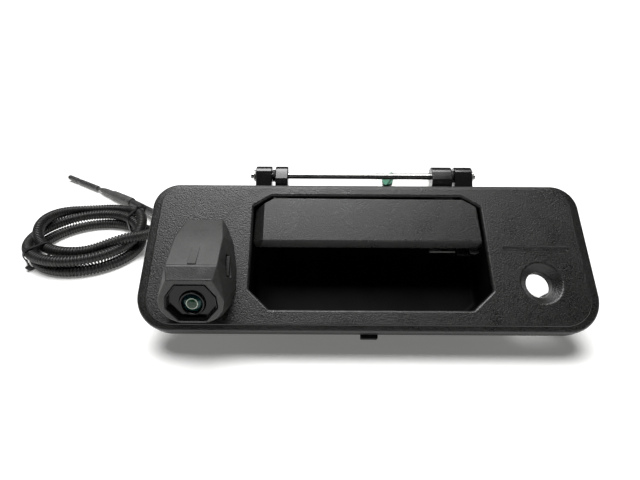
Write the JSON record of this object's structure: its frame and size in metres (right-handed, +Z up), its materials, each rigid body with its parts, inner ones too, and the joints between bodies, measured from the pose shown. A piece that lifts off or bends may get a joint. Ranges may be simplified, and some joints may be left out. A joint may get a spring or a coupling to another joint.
{
  "type": "tailgate handle with backup camera",
  "caption": "Pickup tailgate handle: hinged pull handle over a finger pocket, backup camera pod, keyhole and a coiled camera lead in conduit.",
  "frame": {"origin": "middle of the bottom of the handle assembly as it lies on a table, without its cord", "axes": "+X along the bezel to the lock end, +Y towards the back, +Z up; the face leans back 48 degrees from upright"},
  "size_m": [0.5338, 0.3536, 0.1064],
  "materials": {
    "textured_black": "fine grained satin black",
    "smooth_black": "smooth black",
    "gloss_black": "gloss black",
    "pod_grey": "smooth satin dark grey",
    "steel": "plated steel",
    "zinc": "bright zinc plating",
    "green_plastic": "moulded green",
    "lens_glass": "coated glass",
    "bright_ring": "bright ring",
    "circuit_green": "solder resist",
    "rubber": "satin black",
    "conduit": "black polyethylene",
    "shrink_grey": "dark grey heat shrink"
  },
  "bodies": {
    "housing": {"front_bezel": "textured_black", "finger_pocket": "smooth_black", "snap_tab": "smooth_black", "mounting_post_left": "smooth_black", "mounting_post_right": "smooth_black", "hinge_bar": "smooth_black", "mechanism_bracket": "smooth_black", "lock_sleeve": "smooth_black", "camera_body": "smooth_black", "camera_back_cover": "smooth_black", "cable_tie_front": "smooth_black", "cable_tie_back": "smooth_black", "hinge_block_left": "gloss_black", "hinge_block_right": "gloss_black", "lock_bar_guide": "gloss_black", "lens_hood": "gloss_black", "lens_carrier": "gloss_black", "lens_barrel": "gloss_black", "lens_ring": "gloss_black", "image_sensor": "gloss_black", "pod_cover": "pod_grey", "pod_side_insert": "pod_grey", "hinge_rod": "steel", "lever_pin_left": "steel", "lever_pin_right": "steel", "return_spring_left": "steel", "return_spring_right": "steel", "rod_end_clip_left": "zinc", "rod_end_clip_right": "zinc", "pocket_screw_1": "zinc", "pocket_screw_2": "zinc", "pocket_screw_3": "zinc", "pocket_screw_4": "zinc", "pod_screw_left": "zinc", "pod_screw_right": "zinc", "front_glass": "lens_glass", "iris_ring": "bright_ring", "sensor_board": "circuit_green", "hinge_bush_left": "rubber", "hinge_bush_right": "rubber", "lens_seal": "rubber", "cable_gland": "rubber", "cord_tail": "rubber", "cord_connector": "rubber", "cord_lead": "conduit", "cord_coil": "conduit", "heat_shrink_sleeve": "shrink_grey"},
    "handle": {"handle_paddle": "textured_black", "handle_plate": "smooth_black", "handle_arm_left": "gloss_black", "handle_arm_right": "gloss_black", "handle_screw_left": "zinc", "handle_screw_right": "zinc", "handle_bumper": "rubber"},
    "lever_left": {"release_lever_left": "zinc"},
    "lever_right": {"release_lever_right": "zinc"},
    "latch_rod_clip": {"rod_clip": "green_plastic"},
    "lock_slider": {"lock_bar": "zinc"}
  },
  "joints": [
    {"name": "handle_pull", "type": "hinge", "parent": "housing", "child": "handle", "pos_m": [0, 0.04342, 0.09907], "axis": [-1, 0, 0], "range_deg": [0, 25], "stiffness_Nm_per_rad": 0.25, "springref_deg": -20.05},
    {"name": "lever_left_turn", "type": "hinge", "parent": "housing", "child": "lever_left", "pos_m": [0.0214, 0.04202, 0.07897], "axis": [0, 0.6691, -0.7431], "range_deg": [0, 20]},
    {"name": "lever_right_turn", "type": "hinge", "parent": "housing", "child": "lever_right", "pos_m": [0.059, 0.04165, 0.07863], "axis": [0, 0.6691, -0.7431], "range_deg": [-20, 0]},
    {"name": "rod_clip_swivel", "type": "hinge", "parent": "lever_left", "child": "latch_rod_clip", "pos_m": [0.0214, 0.05502, 0.09068], "axis": [0, 0.6691, -0.7431], "range_deg": [-30, 30]},
    {"name": "lock_slide", "type": "slide", "parent": "housing", "child": "lock_slider", "axis": [-1, 0, 0], "range_m": [0, 0.008]}
  ],
  "couplings": [
    {"joint": "lever_left_turn", "follows": "handle_pull", "ratio": 0.8},
    {"joint": "lever_right_turn", "follows": "handle_pull", "ratio": -0.8}
  ]
}
